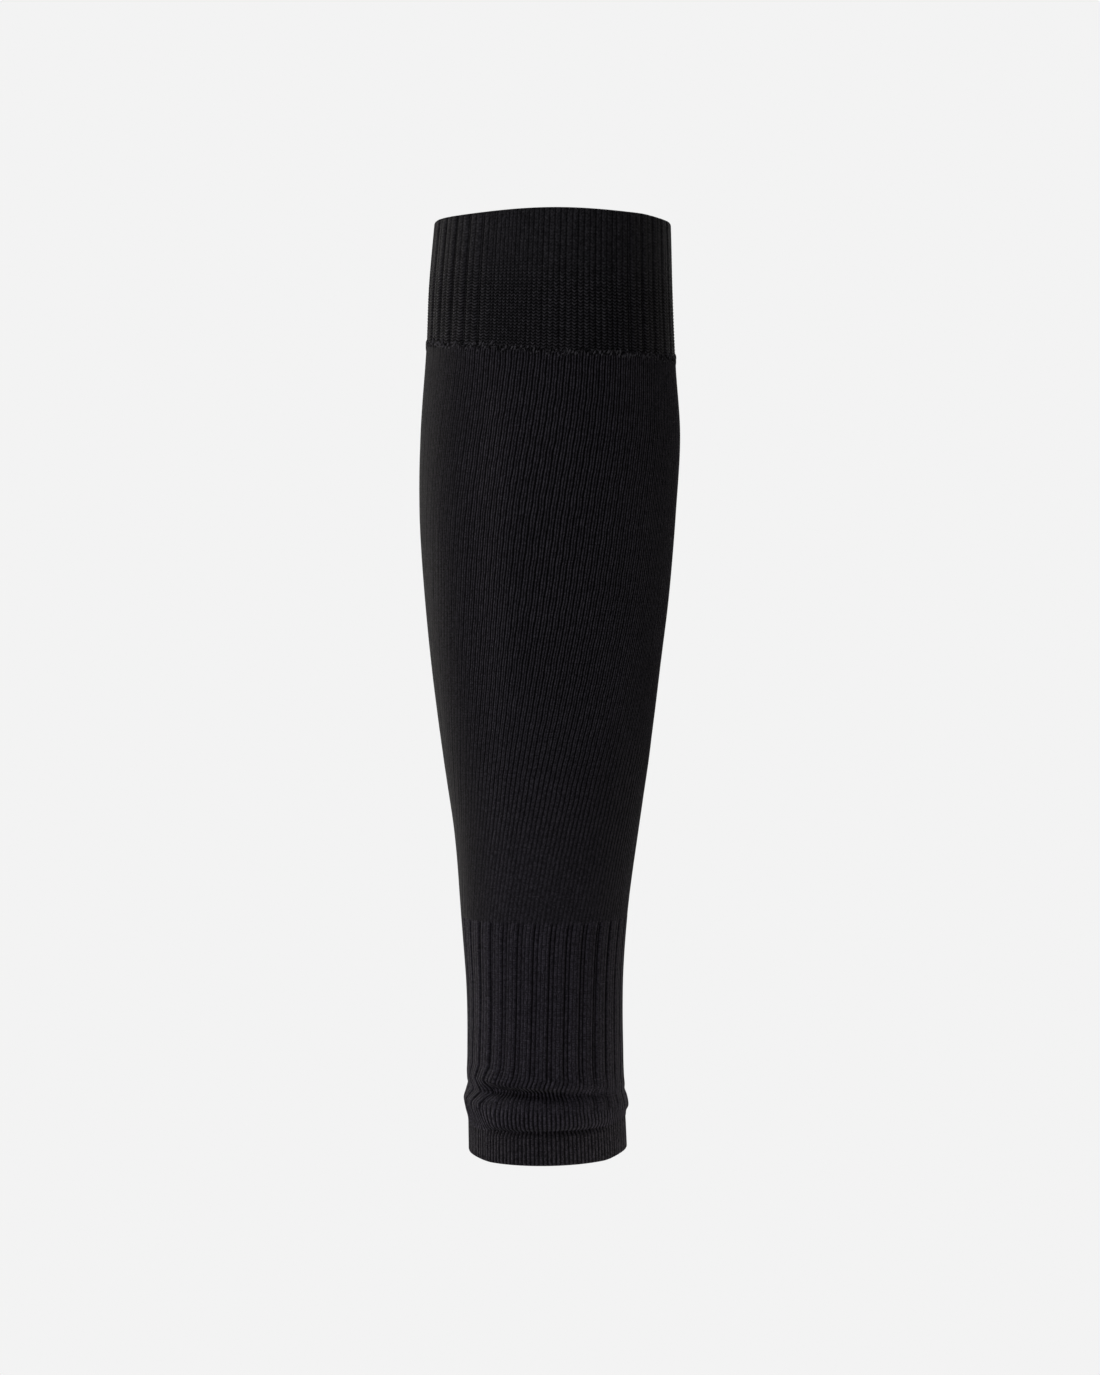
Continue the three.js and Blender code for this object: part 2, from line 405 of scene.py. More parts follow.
def cuff_relief(ring, course):
    """Outset of the cuff's ribs, wales and bars."""
    inside = ring.wale % CUFF_RIB_WALES
    flank = ease(*CUFF_FLANK, np.abs(ring.side))
    deepest = np.where(ring.side < 0, CUFF_LEFT_GROOVE, CUFF_RIGHT_GROOVE)
    groove = CUFF_GROOVE + (deepest - CUFF_GROOVE) * flank
    opened = smooth(CUFF_OPENS, ring.down)["opened"]
    bar = np.cos(2 * math.pi * (course + BAR_WAVE * np.cos(2 * math.pi * inside)))
    shown = CUFF_CLOSED_SHARE + (1 - CUFF_CLOSED_SHARE) * opened
    wales = CUFF_WALE_RELIEF * shown * (yarn(inside) - 1)
    stitch = wales + CUFF_BAR_RELIEF * opened * (bar - 1) / 2
    sunk = groove * (CUFF_SUNK_SHARE + (CUFF_FLANK_SUNK_SHARE - CUFF_SUNK_SHARE) * flank)
    rib = rib_profile(inside, CUFF_RIB_WALES, groove, sunk, flank)
    return rib + stitch + uneven(ring.wale, course, CUFF_UNEVEN)


def make_cuff():
    tube = Tube("cuff_knit", CUFF_PER_WALE)
    bottom = SEAM_DOWN - SEAM_GAP / 2
    rows = int((bottom - CUFF_RIM) / CUFF_COURSE * CUFF_ROWS_PER_COURSE)

    def lay(down, out, relief=0.0, weight=1.0):
        ring = tube.ring(down, cuff_place(tube.wale))
        course = down / CUFF_COURSE
        tube.lay(ring, course, out + relief * cuff_relief(ring, course), weight=weight)

    for turn in np.linspace(math.pi / 2, 0, CUFF_RIM_ROWS)[:-1]:
        lay(CUFF_RIM * (1 - math.sin(turn)), CUFF_RIM * (math.cos(turn) - 1), relief=math.cos(turn))
    for down in levels(CUFF_RIM, bottom, rows):
        lay(down, 0.0, relief=1.0)
    lay(bottom + CUFF_LOWER_EDGE, -CUFF_WALL * CUFF_EDGE_SHARE, weight=INNER_BAKE)
    for down in np.linspace(bottom, CUFF_RIM, CUFF_INNER_ROWS):
        lay(down, -CUFF_WALL, weight=INNER_BAKE)
    for turn in np.linspace(math.pi, math.pi / 2, CUFF_RIM_ROWS)[1:-1]:
        lay(CUFF_RIM * (1 - math.sin(turn)), CUFF_RIM * (math.cos(turn) - 1), weight=INNER_BAKE)
    return tube.build()


# Plain jersey leg: both legs of each stitch make a fine line

LEG_PER_WALE = 6
LEG_ROWS = 108
LEG_INNER_ROWS = 9
LEG_LINE_RELIEF = 0.3
LEG_WALE_RELIEF = 0.14
LEG_RIGHT_WALE_RELIEF = 0.42
LEG_RIGHT = (0.1, 0.6)
LEG_FLANK = (0.45, 0.85)
LEG_FLANK_FADE = 0.75
LEG_FRONT = 1.5
LEG_FRONT_ENDS = (215.0, 275.0)
LEG_EDGE = 0.4
LEG_TOP_SUNK = 0.8
LEG_BOTTOM_SUNK = 0.5
LEG_UNEVEN = 0.03
LEG_WOBBLE = 0.035
WOBBLE_LENGTHS = (9.0, 16.0)


def wobble(wale, down):
    """How far each wale strays sideways at this level, in wales."""
    stray = np.zeros(WALES)
    for count, length in enumerate(WOBBLE_LENGTHS, start=1):
        stray += np.sin(2 * math.pi * down / length + wale_phase * count)
    return LEG_WOBBLE * np.interp(wale, np.arange(WALES + 1), np.append(stray, stray[0]))


def leg_place(wale, down):
    """Wale positions round the leg: closer at the shin above the ankle, and straying a little."""
    front = LEG_FRONT * (1 - ease(*LEG_FRONT_ENDS, down))
    side = np.sin(2 * math.pi * (wale - WALES / 2) / WALES)
    return wale + wobble(wale, down) - front * side


def shin_form(ring):
    """Outset of the shin's ridge and of the hollow beside it."""
    out = 0.0
    for part in (SHIN_RIDGE, SHIN_HOLLOW):
        away = (ring.side - part["side"]) / part["reach"]
        out = out + part["height"] * np.exp(-(away**2)) * (ring.shin > 0)
    return out * smooth(SHIN_SHOWS, ring.down)["share"]


def make_leg():
    tube = Tube("leg_knit", LEG_PER_WALE)
    top = SEAM_DOWN + SEAM_GAP / 2
    bottom = RIB_DOWN
    tube.lay(tube.ring(top - LEG_EDGE), top / LEG_COURSE, -LEG_TOP_SUNK)
    for down in levels(top, bottom, LEG_ROWS):
        course = down / LEG_COURSE
        closed = ease(*JERSEY_CLOSES, down)
        ring = tube.ring(down, leg_place(tube.wale, down))
        lines = LEG_LINE_RELIEF * (1 - closed) * (yarn(2 * tube.wale) - 1)
        right = ease(*LEG_RIGHT, ring.side)
        depth = LEG_WALE_RELIEF + (LEG_RIGHT_WALE_RELIEF - LEG_WALE_RELIEF) * right
        wales = depth * (yarn(tube.wale) - 1)
        calm = 1 - JERSEY_CALM * ease(*JERSEY_CALMS, down)
        shown = calm * (1 - LEG_FLANK_FADE * ease(*LEG_FLANK, -ring.side))
        relief = shown * (lines + wales) + uneven(tube.wale, course, LEG_UNEVEN)
        tube.lay(ring, course, relief + shin_form(ring))
    tube.lay(tube.ring(bottom + LEG_EDGE), bottom / LEG_COURSE, -LEG_BOTTOM_SUNK)
    for down in np.linspace(bottom + LEG_EDGE, top - LEG_EDGE, LEG_INNER_ROWS):
        ring = tube.ring(down)
        tube.lay(ring, down / LEG_COURSE, shin_form(ring) - LEG_WALL, weight=INNER_BAKE)
    return tube.build()


# Ankle ribbing: three raised wales and a sunk one, slouched above the hem

ANKLE_PER_WALE = 4
ANKLE_ROWS = 170
ANKLE_INNER_ROWS = 16
ANKLE_WALE_RELIEF = 0.16
ANKLE_GROOVE = 0.75
ANKLE_FLANK_GROOVE = 1.25
ANKLE_SUNK_SHARE = 0.45
ANKLE_FLANK_SUNK_SHARE = 0.9
ANKLE_FLANK = (0.45, 0.85)
ANKLE_FLANK_WIDTH = 0.35
ANKLE_CREASE = (0.5, 0.8)
ANKLE_CREASE_RELIEF = 0.25
ANKLE_UNEVEN = 0.04
ANKLE_TUCK = 0.5
ANKLE_TUCK_SUNK = 1.0
ANKLE_OVERLAP = 0.3


def sway(ring):
    """How far the folds push the wales round the leg, in wales."""
    push = straight(FOLD_SWAY, ring.down)
    left = ease(*SWAY_LEFT, -ring.side)
    right = ease(*SWAY_RIGHT, ring.side)
    shin = ring.shin * (1 - left) * (1 - right)
    return push["left"] * left + push["shin"] * shin + push["right"] * right


def slouch(ring):
    """Outset and droop of the folds."""
    fold = smooth(SLOUCH_FOLDS, ring.down)
    left_front = ease(*SLOUCH_LEFT_FRONT, ring.shin)
    right_front = ease(*SLOUCH_RIGHT_FRONT, ring.shin)
    front = np.where(ring.side < 0, left_front, right_front)
    back = ease(*SLOUCH_BACK, ring.calf)
    flank = np.where(ring.side < 0, fold["left"], fold["right"])
    across = ease(*SLOUCH_ACROSS, ring.side)
    crease = fold["left_front"] * (1 - across) + fold["right_front"] * across
    out = crease * front + fold["back"] * back + flank * (1 - front - back)
    return out, fold["droop"] * front


def ankle_relief(ring, course):
    """Outset of the ankle's ribs and wales."""
    inside = ring.wale % ANKLE_RIB_WALES
    look = straight(ANKLE_LOOK, ring.down)
    flank = ease(*ANKLE_FLANK, np.abs(ring.side))
    left = ease(*ANKLE_FLANK, -ring.side)
    groove = ANKLE_GROOVE + (ANKLE_FLANK_GROOVE - ANKLE_GROOVE) * left
    sunk = groove * (ANKLE_SUNK_SHARE + (ANKLE_FLANK_SUNK_SHARE - ANKLE_SUNK_SHARE) * flank)
    crease = look["dashed"] * ease(*ANKLE_CREASE, ring.shin)
    fine = np.maximum(look["fine"], crease)
    relief = ANKLE_WALE_RELIEF + (HEM_RELIEF - ANKLE_WALE_RELIEF) * fine + ANKLE_CREASE_RELIEF * crease
    depth = look["groove"] + (look["left_groove"] - look["groove"]) * left
    rib = depth * rib_profile(inside, ANKLE_RIB_WALES, groove, sunk, flank)
    return rib + relief * (yarn(inside) - 1) + uneven(ring.wale, course, ANKLE_UNEVEN)


def make_ankle():
    tube = Tube("ankle_knit", ANKLE_PER_WALE)
    top = RIB_DOWN
    bottom = HEM_DOWN + ANKLE_OVERLAP

    def folded(down):
        ring = tube.ring(down)
        look = straight(ANKLE_LOOK, down)
        depth = np.where(ring.side < 0, look["left_groove"], look["groove"])
        drawn = depth * ease(*ANKLE_FLANK, np.abs(ring.side))
        narrow = drawn_in(tube.wale, ANKLE_RIB_WALES, 1 - (1 - ANKLE_FLANK_WIDTH) * drawn)
        return tube.ring(down, narrow + sway(ring))

    tube.lay(tube.ring(top - ANKLE_TUCK), top / ANKLE_COURSE, -ANKLE_TUCK_SUNK)
    for down in levels(top, bottom, ANKLE_ROWS):
        ring = folded(down)
        course = down / ANKLE_COURSE
        out, droop = slouch(ring)
        tube.lay(ring, course, out + ankle_relief(ring, course), droop)
    for down in np.linspace(bottom, top - ANKLE_TUCK, ANKLE_INNER_ROWS):
        ring = folded(down)
        out, droop = slouch(ring)
        tube.lay(ring, down / ANKLE_COURSE, out - ANKLE_WALL, droop, weight=INNER_BAKE)
    return tube.build()


# Turned hem: one fine rib on each wale

HEM_PER_WALE = 4
HEM_ROWS = 34
HEM_RIM = HEM_WALL / 2
HEM_RIM_ROWS = 12
HEM_INNER_ROWS = 5
HEM_RELIEF = 0.42
HEM_LOWER_WALE = 0.08
HEM_UNEVEN = 0.05
HEM_TUCK = 2.2
HEM_TUCK_HEIGHT = 3.2
HEM_TUCK_SHIN = (0.55, 0.95)
HEM_OVERLAP = 0.9
HEM_OUTSET = 0.3


def hem_relief(ring, course):
    """Outset of the hem's fine ribs, of which every other one lies lower."""
    lower = HEM_LOWER_WALE * (np.floor(ring.wale) % 2)
    return HEM_RELIEF * (yarn(ring.wale) - 1) - lower + uneven(ring.wale, course, HEM_UNEVEN)


def make_hem():
    tube = Tube("hem_knit", HEM_PER_WALE)
    top = HEM_DOWN - HEM_OVERLAP
    rim = LENGTH - HEM_RIM
    for down in levels(top, rim, HEM_ROWS):
        ring = tube.ring(down)
        course = down / HEM_COURSE
        shin = ease(*HEM_TUCK_SHIN, ring.shin)
        tuck = HEM_TUCK * shin * (1 - ease(top, top + HEM_TUCK_HEIGHT, down))
        tube.lay(ring, course, HEM_OUTSET * ring.side**2 + hem_relief(ring, course) - tuck)
    for turn in np.linspace(0, math.pi, HEM_RIM_ROWS)[1:]:
        down = rim + HEM_RIM * math.sin(turn)
        ring = tube.ring(down)
        course = down / HEM_COURSE
        relief = hem_relief(ring, course) * max(0.0, math.cos(turn))
        tube.lay(ring, course, HEM_OUTSET * ring.side**2 + HEM_RIM * (math.cos(turn) - 1) + relief)
    for down in np.linspace(rim, top, HEM_INNER_ROWS)[1:]:
        tube.lay(tube.ring(down), down / HEM_COURSE, -HEM_WALL, weight=INNER_BAKE)
    return tube.build()


# Linking row between cuff and leg: a ring of yarn with two uneven loops on each wale

SEAM_PER_WALE = 4
SEAM_ROWS = 9
SEAM_SUNK = 0.6
SEAM_RELIEF = 0.2
SEAM_OVERLAP = 0.3
LOOPS = 2 * WALES
LOOP_TALL = 2.5
LOOP_TALL_SPREAD = 0.6
LOOP_LIFT_SPREAD = 0.6
LOOP_WIDE = 0.95
LOOP_DEEP = 1.1
LOOP_SLANT = math.radians(20)
LOOP_SLANT_SPREAD = math.radians(15)
LOOP_RINGS = 9
LOOP_SIDES = 10
LOOP_SUNK = 0.2


def make_seam_ring():
    tube = Tube("seam_ring", SEAM_PER_WALE)
    top = SEAM_DOWN - SEAM_HEIGHT / 2 - SEAM_OVERLAP
    bottom = SEAM_DOWN + SEAM_HEIGHT / 2 + SEAM_OVERLAP
    for down in np.linspace(top, bottom, SEAM_ROWS):
        ring = tube.ring(down)
        tube.lay(ring, down / CUFF_COURSE, SEAM_RELIEF * (yarn(ring.wale) - 1) - SEAM_SUNK)
    for down in (bottom, top):
        tube.lay(tube.ring(down), down / CUFF_COURSE, -SEAM_WALL, weight=INNER_BAKE)
    return tube.build()


def add_loop(verts, faces, middle, tall, wide, deep):
    """Adds a long bead of yarn about its middle. The vectors are half of its sizes."""
    start = len(verts)
    for level in range(LOOP_RINGS):
        turn = math.pi * (level + 0.5) / LOOP_RINGS
        for step in range(LOOP_SIDES):
            spin = 2 * math.pi * step / LOOP_SIDES
            place = tall * math.cos(turn)
            place += (wide * math.cos(spin) + deep * math.sin(spin)) * math.sin(turn)
            verts.append((middle + place) * MM)
    for level in range(LOOP_RINGS - 1):
        for step in range(LOOP_SIDES):
            a = start + level * LOOP_SIDES + step
            b = start + level * LOOP_SIDES + (step + 1) % LOOP_SIDES
            faces.append((a, a + LOOP_SIDES, b + LOOP_SIDES, b))
    last = start + (LOOP_RINGS - 1) * LOOP_SIDES
    faces.append([start + step for step in range(LOOP_SIDES)])
    faces.append([last + step for step in reversed(range(LOOP_SIDES))])


def make_seam_loops():
    verts = []
    faces = []
    slant = rng.normal(LOOP_SLANT, LOOP_SLANT_SPREAD, LOOPS)
    tall = rng.normal(LOOP_TALL, LOOP_TALL_SPREAD, LOOPS)
    lift = rng.normal(0.0, LOOP_LIFT_SPREAD, LOOPS)
    lean = smooth(WALE_LEAN, SEAM_DOWN)["wales"]
    wale = (np.arange(LOOPS) + 0.5) * WALES / LOOPS
    ring = Ring(SEAM_DOWN, wale, wale + lean)
    height = ring.lift() - SEAM_DOWN + lift
    for index in range(LOOPS):
        out = Vector((*ring.normal[index], 0.0))
        along = Vector((-out.y, out.x, 0.0))
        axis = Vector((0.0, 0.0, math.cos(slant[index]))) + along * math.sin(slant[index])
        across = axis.cross(out)
        middle = Vector((*ring.point[index], height[index])) - out * LOOP_SUNK
        halves = (axis * (tall[index] / 2), across * (LOOP_WIDE / 2), out * (LOOP_DEEP / 2))
        add_loop(verts, faces, middle, *halves)
    mesh = bpy.data.meshes.new("seam_loops")
    mesh.from_pydata(verts, [], faces)
    mesh.shade_smooth()
    return add_object("seam_loops", mesh)


# Materials: colours of the yarn, and of the gaps between its stitches

YARN_DARK = (0.0011, 0.001, 0.0014, 1.0)
CUFF_YARN = (0.0562, 0.0535, 0.0615, 1.0)
JERSEY_YARN = (0.0562, 0.0516, 0.0643, 1.0)
RIB_YARN = (0.0559, 0.0508, 0.0653, 1.0)
HEM_YARN = (0.0572, 0.0522, 0.0626, 1.0)
YARN_BRIGHTEST = 1.7
YARN_SPECULAR = 0.03
YARN_SHEEN = 0.06
YARN_SHEEN_ROUGHNESS = 0.3
YARN_ROUGHNESS = (0.6, 0.9)

# Fibres and clouds over the yarn: scale and detail of the noise, and its reach in tone or bump

FIBRE_NOISE = (2400.0, 2.0)
FIBRE_TONE = (0.55, 1.45)
FIBRE_BUMP = 0.3
CLOUD_NOISE = (45.0, 3.0)
CLOUD_TONE = (0.85, 1.15)

# The plain stitch: its legs' distance from the wale's middle, their slant, its tones, the shade painted on
# its right leg and its bump

STITCH_SPREAD = 0.225
STITCH_SLANT = 1.1
STITCH_TONE = (0.8, 1.15)
STITCH_DEPTH = 0.2
GRAIN_BUMP = (0.5, 1.0)
RIGHT_LEG_PAINTED_SHADE = 0.12
LEGS_PER_WALE = 2.0
SPECKS_PER_WALE = 4.0
SPECKS_PER_COURSE = 2.0

# Wales away from the shin between which the flanks begin and end, and the crease ends

FLANK_WALES = (10.0, 22.0)
LEG_FLANK_WALES = (10.0, 20.0)
FLANK_ENDS = (44.0, 56.0)
CREASE_ENDS = (3.0, 10.0)

# How much painted shade darkens the sunk wale of a rib at the flanks

SUNK_WALE_PAINTED_SHADE = 0.7


class Field:
    """A number that varies over a surface. Arithmetic on it adds the nodes that work it out."""

    def __init__(self, tree, socket):
        self.tree = tree
        self.socket = socket

    def work(self, operation, *others):
        node = self.tree.nodes.new("ShaderNodeMath")
        node.operation = operation
        for place, value in zip(node.inputs, (self, *others)):
            if isinstance(value, Field):
                self.tree.links.new(value.socket, place)
            else:
                place.default_value = value
        return Field(self.tree, node.outputs[0])

    def __add__(self, other):
        return self.work("ADD", other)

    def __sub__(self, other):
        return self.work("SUBTRACT", other)

    def __mul__(self, other):
        return self.work("MULTIPLY", other)

    def __mod__(self, other):
        return self.work("FLOORED_MODULO", other)

    def lacking(self):
        return self * -1.0 + 1.0

    def spread(self, low, high):
        """Runs from low to high where this runs from 0 to 1."""
        return self * (high - low) + low

    def fract(self):
        return self.work("FRACT")

    def floor(self):
        return self.work("FLOOR")

    def size(self):
        return self.work("ABSOLUTE")

    def cosine(self):
        """Cosine of this many whole turns."""
        return (self * (2 * math.pi)).work("COSINE")

    def above(self, level):
        return self.work("GREATER_THAN", level)

    def power(self, exponent):
        return self.work("POWER", exponent)

    def round_back(self):
        """1 where this is 0, falling as a half circle to 0 where this is -1 or 1."""
        return (self * self).lacking().work("MAXIMUM", 0.0).work("SQRT")

    def line(self, sharp, tone):
        """A line of this tone along a round back, narrower the sharper it is."""
        return self.power(sharp) * tone

    def ramp(self, low, high):
        """0 up to low, 1 from high on, and a smooth step between them."""
        node = self.tree.nodes.new("ShaderNodeMapRange")
        node.interpolation_type = "SMOOTHSTEP"
        node.inputs["From Min"].default_value = low
        node.inputs["From Max"].default_value = high
        self.tree.links.new(self.socket, node.inputs["Value"])
        return Field(self.tree, node.outputs["Result"])

    def table(self, levels, values):
        """What values gives at this level, on straight lines between the levels."""
        node = self.tree.nodes.new("ShaderNodeValToRGB")
        span = levels[-1] - levels[0]
        self.tree.links.new(((self - levels[0]) * (1 / span)).socket, node.inputs["Fac"])
        points = node.color_ramp.elements
        for level in levels[1:-1]:
            points.new((level - levels[0]) / span)
        for point, value in zip(points, values):
            point.color = (value, value, value, 1.0)
        return Field(self.tree, node.outputs["Color"])

    def mixed(self, other, share):
        return self * share.lacking() + other * share


class Cloth:
    """One material under way, with the wale and course numbers of its surface as fields."""

    def __init__(self, name):
        self.material = bpy.data.materials.new(name)
        self.material.use_nodes = True
        self.tree = self.material.node_tree
        place = self.tree.nodes.new("ShaderNodeUVMap")
        place.uv_map = "knit"
        split = self.tree.nodes.new("ShaderNodeSeparateXYZ")
        self.tree.links.new(place.outputs["UV"], split.inputs[0])
        self.wale = Field(self.tree, split.outputs["X"])
        self.course = Field(self.tree, split.outputs["Y"])
        self.spot = self.tree.nodes.new("ShaderNodeTexCoord").outputs["Object"]

    def noise(self, scale, detail):
        node = self.tree.nodes.new("ShaderNodeTexNoise")
        node.inputs["Scale"].default_value = scale
        node.inputs["Detail"].default_value = detail
        self.tree.links.new(self.spot, node.inputs["Vector"])
        return Field(self.tree, node.outputs["Fac"])

    def chance(self, across, along):
        """A number from 0 to 1 for each whole step across and along."""
        number = self.tree.nodes.new("ShaderNodeCombineXYZ")
        self.tree.links.new(across.floor().socket, number.inputs[0])
        self.tree.links.new(along.floor().socket, number.inputs[1])
        node = self.tree.nodes.new("ShaderNodeTexWhiteNoise")
        node.noise_dimensions = "2D"
        self.tree.links.new(number.outputs[0], node.inputs["Vector"])
        return Field(self.tree, node.outputs["Value"])

    def finish(self, tone, height, yarn):
        """Colour of the yarn by tone, 0 in the gaps to about 1 on most of it, and bump from height."""
        shader = self.tree.nodes["Principled BSDF"]
        fibre = self.noise(*FIBRE_NOISE)
        cloud = self.noise(*CLOUD_NOISE).spread(*CLOUD_TONE) * fibre.spread(*FIBRE_TONE)
        ramp = self.tree.nodes.new("ShaderNodeValToRGB")
        ramp.color_ramp.elements[0].color = YARN_DARK
        ramp.color_ramp.elements[1].color = yarn
        self.tree.links.new((tone * cloud * (1 / YARN_BRIGHTEST)).socket, ramp.inputs["Fac"])
        self.tree.links.new(ramp.outputs["Color"], shader.inputs["Base Color"])
        self.tree.links.new(fibre.spread(*YARN_ROUGHNESS).socket, shader.inputs["Roughness"])
        bump = self.tree.nodes.new("ShaderNodeBump")
        bump.inputs["Distance"].default_value = STITCH_DEPTH * MM
        self.tree.links.new((height + fibre * FIBRE_BUMP).socket, bump.inputs["Height"])
        self.tree.links.new(bump.outputs["Normal"], shader.inputs["Normal"])
        shader.inputs["Specular IOR Level"].default_value = YARN_SPECULAR
        shader.inputs["Sheen Weight"].default_value = YARN_SHEEN
        shader.inputs["Sheen Roughness"].default_value = YARN_SHEEN_ROUGHNESS
        return self.material


class Stitch:
    """Fields of the plain stitch: its legs, its whole back, its grain and its own lightness, with shade
    painted on its right leg.
    """

    def __init__(self, cloth, speckled):
        across = cloth.wale.fract() - 0.5
        apart = across.size()
        along = cloth.course + apart * STITCH_SLANT
        self.legs = (apart * (1 / STITCH_SPREAD) - 1.0).round_back()
        self.back = (across * 2.0).round_back()
        self.grain = (along.fract() * 2.0 - 1.0).round_back()
        # Painted shade: the right leg of each stitch is darker, as if lit from the left
        painted_shade = across.above(0.0) * -RIGHT_LEG_PAINTED_SHADE + 1.0
        specks = cloth.chance(cloth.wale * SPECKS_PER_WALE, cloth.course * SPECKS_PER_COURSE)
        own = cloth.chance(cloth.wale * LEGS_PER_WALE, along)
        self.light = own.spread(*STITCH_TONE) * painted_shade * ((specks - 0.5) * speckled + 1.0)


def on_left(away, begins):
    """1 at the left flank, 0 at the shin and the calf, by wales away from the shin to the right."""
    left = away * -1.0
    return left.ramp(*begins) * left.ramp(*FLANK_ENDS).lacking()


def painted_groove_shade(cloth, wales, reach, flank):
    """Share of painted shade: 1 in the grooves beside each rib's sunk wale, the sunk wale's painted share
    on that wale at the flanks, else 0.
    """
    inside = cloth.wale % wales
    sunk = inside.above(wales - 1.0)
    first = inside.ramp(0.0, reach)
    last = (inside - (wales - 1.0)).size().ramp(0.0, reach)
    return (first * last * (flank * sunk * -SUNK_WALE_PAINTED_SHADE + 1.0)).lacking()


# The leg's look: its two lines, the one that they close up to, and where they grow faint

JERSEY_SPECKLED = 0.9
JERSEY_LEGS = {"sharp": 3.5, "tone": 1.05}
JERSEY_BACK = {"sharp": 2.3, "tone": 0.83}
JERSEY_CALM_TONE = 0.62
JERSEY_FLANK_TONE = 0.3
JERSEY_GRAIN = (0.75, 1.1)


def jersey_material():
    cloth = Cloth("jersey_knit")
    stitch = Stitch(cloth, JERSEY_SPECKLED)
    down = cloth.course * LEG_COURSE
    closed = down.ramp(*JERSEY_CLOSES)
    leaned = down.table(WALE_LEAN["down"], [-wales for wales in WALE_LEAN["wales"]])
    faded = on_left(cloth.wale - leaned - WALES / 2, LEG_FLANK_WALES) * LEG_FLANK_FADE
    drawn = stitch.legs.line(**JERSEY_LEGS).mixed(stitch.back.line(**JERSEY_BACK), closed)
    calm = down.ramp(*JERSEY_CALMS) * JERSEY_CALM
    calmed = drawn * calm.lacking() + calm * JERSEY_CALM_TONE
    line = calmed * faded.lacking() + faded * JERSEY_FLANK_TONE
    tone = line * stitch.grain.spread(*JERSEY_GRAIN) * stitch.light
    return cloth.finish(tone, line * stitch.grain.spread(*GRAIN_BUMP), JERSEY_YARN)


# The cuff's look: levels between which its stitches open to bars, its tones, and the shade painted in its
# grooves

CUFF_SPECKLED = 0.9
CUFF_TONE_OPENS = (9.0, 32.0)
CUFF_PLAIN_SHARP = 0.75
CUFF_GRAIN = (0.33, 0.75)
CUFF_BAR_SHARP = 0.9
CUFF_BAR_TONE = (0.03, 1.09)
CUFF_GROOVE_REACH = 0.22
CUFF_GROOVE_PAINTED_SHADE = (0.35, 0.55)


def cuff_material():
    cloth = Cloth("cuff_rib_knit")
    stitch = Stitch(cloth, CUFF_SPECKLED)
    opened = (cloth.course * CUFF_COURSE).ramp(*CUFF_TONE_OPENS)
    bar = (cloth.course + cloth.wale.cosine() * BAR_WAVE).cosine() * 0.5 + 0.5
    round_stitch = ((stitch.back + stitch.legs) * 0.5).power(CUFF_PLAIN_SHARP)
    plain = round_stitch * stitch.grain.spread(*CUFF_GRAIN)
    stretched = stitch.back.power(CUFF_BAR_SHARP) * bar.spread(*CUFF_BAR_TONE)
    height = plain.mixed(stretched, opened)
    away = cloth.wale - WALES / 2
    groove = painted_groove_shade(cloth, CUFF_RIB_WALES, CUFF_GROOVE_REACH, away.size().ramp(*FLANK_WALES))
    # Painted shade in the grooves between the ribs, deeper at the left flank, darkens the yarn
    painted_shade = groove * on_left(away, FLANK_WALES).spread(*CUFF_GROOVE_PAINTED_SHADE)
    return cloth.finish(height * painted_shade.lacking() * stitch.light, height, CUFF_YARN)


# The ankle's look: its plain wales, those that stand apart as fine lines, their dashes with painted crease
# shade between them, and the shade painted in its grooves

RIB_SPECKLED = 1.0
RIB_BACK = {"sharp": 0.8, "tone": 0.64}
RIB_LEGS_TONE = 0.29
RIB_FINE = {"sharp": 3.0, "tone": 1.2}
RIB_DASH_SHARP = 3.0
RIB_GRAIN = (0.6, 1.2)
RIB_GROOVE_REACH = 0.4
RIB_GROOVE_PAINTED_SHADE = 0.75


def rib_material():
    cloth = Cloth("rib_knit")
    stitch = Stitch(cloth, RIB_SPECKLED)
    down = cloth.course * ANKLE_COURSE
    shin = WALES / 2 - float(smooth(WALE_LEAN, RIB_DOWN)["wales"])
    away = cloth.wale - shin
    flank = away.size().ramp(*FLANK_WALES)
    look = {name: down.table(ANKLE_LOOK["down"], ANKLE_LOOK[name]) for name in ANKLE_LOOK if name != "down"}
    # How deep the painted groove shade is, by level, at the shin and at the left
    depth = look["groove"].mixed(look["left_groove"], on_left(away, FLANK_WALES))
    groove = painted_groove_shade(cloth, ANKLE_RIB_WALES, RIB_GROOVE_REACH, flank)
    # Painted shade in the grooves between the ribs and on the sunk wale at the flanks
    painted_shade = groove * depth * RIB_GROOVE_PAINTED_SHADE
    dashed = look["dashed"] * flank.lacking() * away.ramp(*CREASE_ENDS).lacking()
    fine = look["fine"] + dashed
    plain = stitch.back.line(**RIB_BACK) + stitch.legs * RIB_LEGS_TONE
    line = plain.mixed(stitch.back.line(**RIB_FINE), fine)
    # In the crease the wales break into dashes, and the gaps between them get painted crease shade
    dashes_and_crease_shade = dashed.lacking() + dashed * stitch.back.power(RIB_DASH_SHARP)
    tone = line * dashes_and_crease_shade * stitch.grain.spread(*RIB_GRAIN) * stitch.light * painted_shade.lacking()
    return cloth.finish(tone, line * stitch.grain.spread(*GRAIN_BUMP), RIB_YARN)


# The hem's look

HEM_SPECKLED = 1.2
HEM_LINE_SHARP = 2.4
HEM_GRAIN = (0.7, 1.2)


def hem_material():
    cloth = Cloth("hem_knit")
    stitch = Stitch(cloth, HEM_SPECKLED)
    line = stitch.back.power(HEM_LINE_SHARP)
    tone = line * stitch.grain.spread(*HEM_GRAIN) * stitch.light
    return cloth.finish(tone, line * stitch.grain.spread(*GRAIN_BUMP), HEM_YARN)


# The linking yarn's look: patches of tone, and a finer bump

